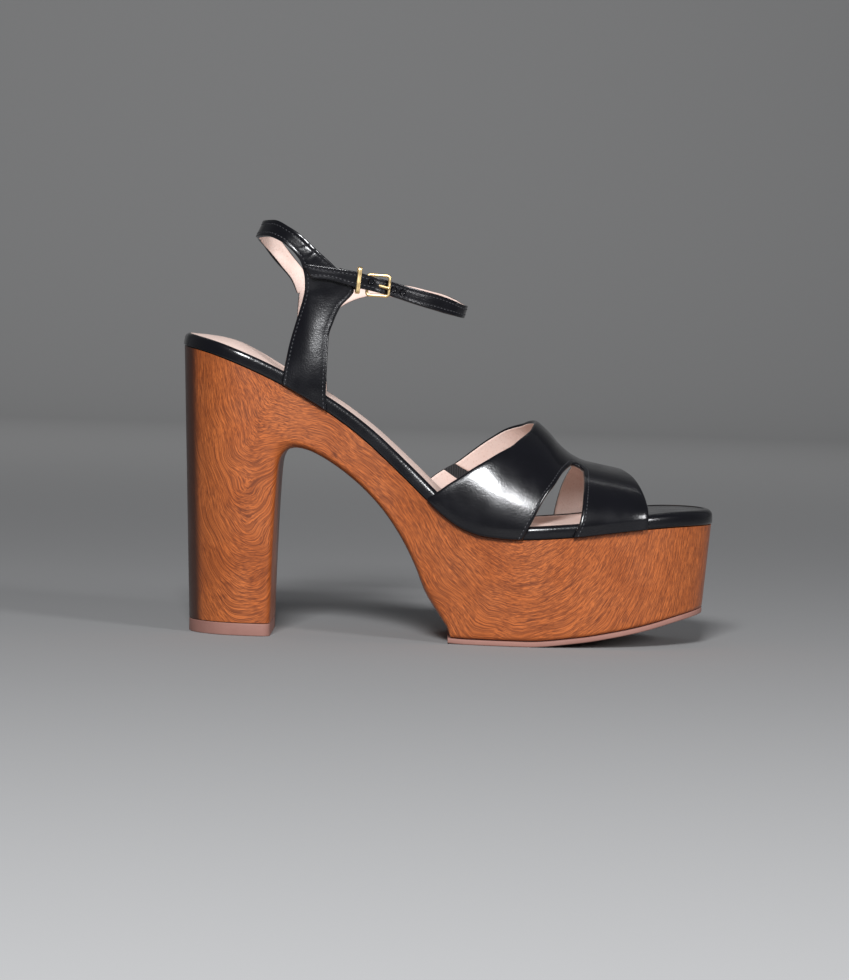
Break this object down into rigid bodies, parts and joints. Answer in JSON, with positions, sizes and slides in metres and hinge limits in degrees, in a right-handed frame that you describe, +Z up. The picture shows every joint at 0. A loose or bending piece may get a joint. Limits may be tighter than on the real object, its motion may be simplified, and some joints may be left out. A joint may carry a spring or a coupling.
{
  "type": "platform sandal",
  "caption": "High platform sandal for the right foot: wood-look platform and block heel, leather straps with side windows, and an ankle strap with a buckle.",
  "frame": {"origin": "on the floor, under the middle of the shoe's box", "axes": "+X to the toe, +Y to the inner side of the right foot, +Z up"},
  "size_m": [0.2287, 0.0886, 0.1758],
  "materials": {
    "wood": "satin stained wood finish with fine dark grain",
    "rubber": "matt rosy brown rubber",
    "black_leather": "smooth black leather with a soft gloss",
    "pale_leather": "matt pale pink lining leather",
    "elastic": "ribbed black elastic",
    "gold": "polished pale gold plating"
  },
  "bodies": {
    "root": {"platform_heel": "wood", "heel_top_lift": "rubber", "forefoot_outsole": "rubber", "footbed": "black_leather", "sock_lining": "pale_leather", "vamp": "black_leather", "vamp_inner_foot": "black_leather", "elastic_gore": "elastic", "ankle_upper": "black_leather", "buckle_tab": "black_leather", "buckle_frame": "gold", "buckle_prong": "gold", "keeper_loop": "gold"}
  },
  "joints": []
}
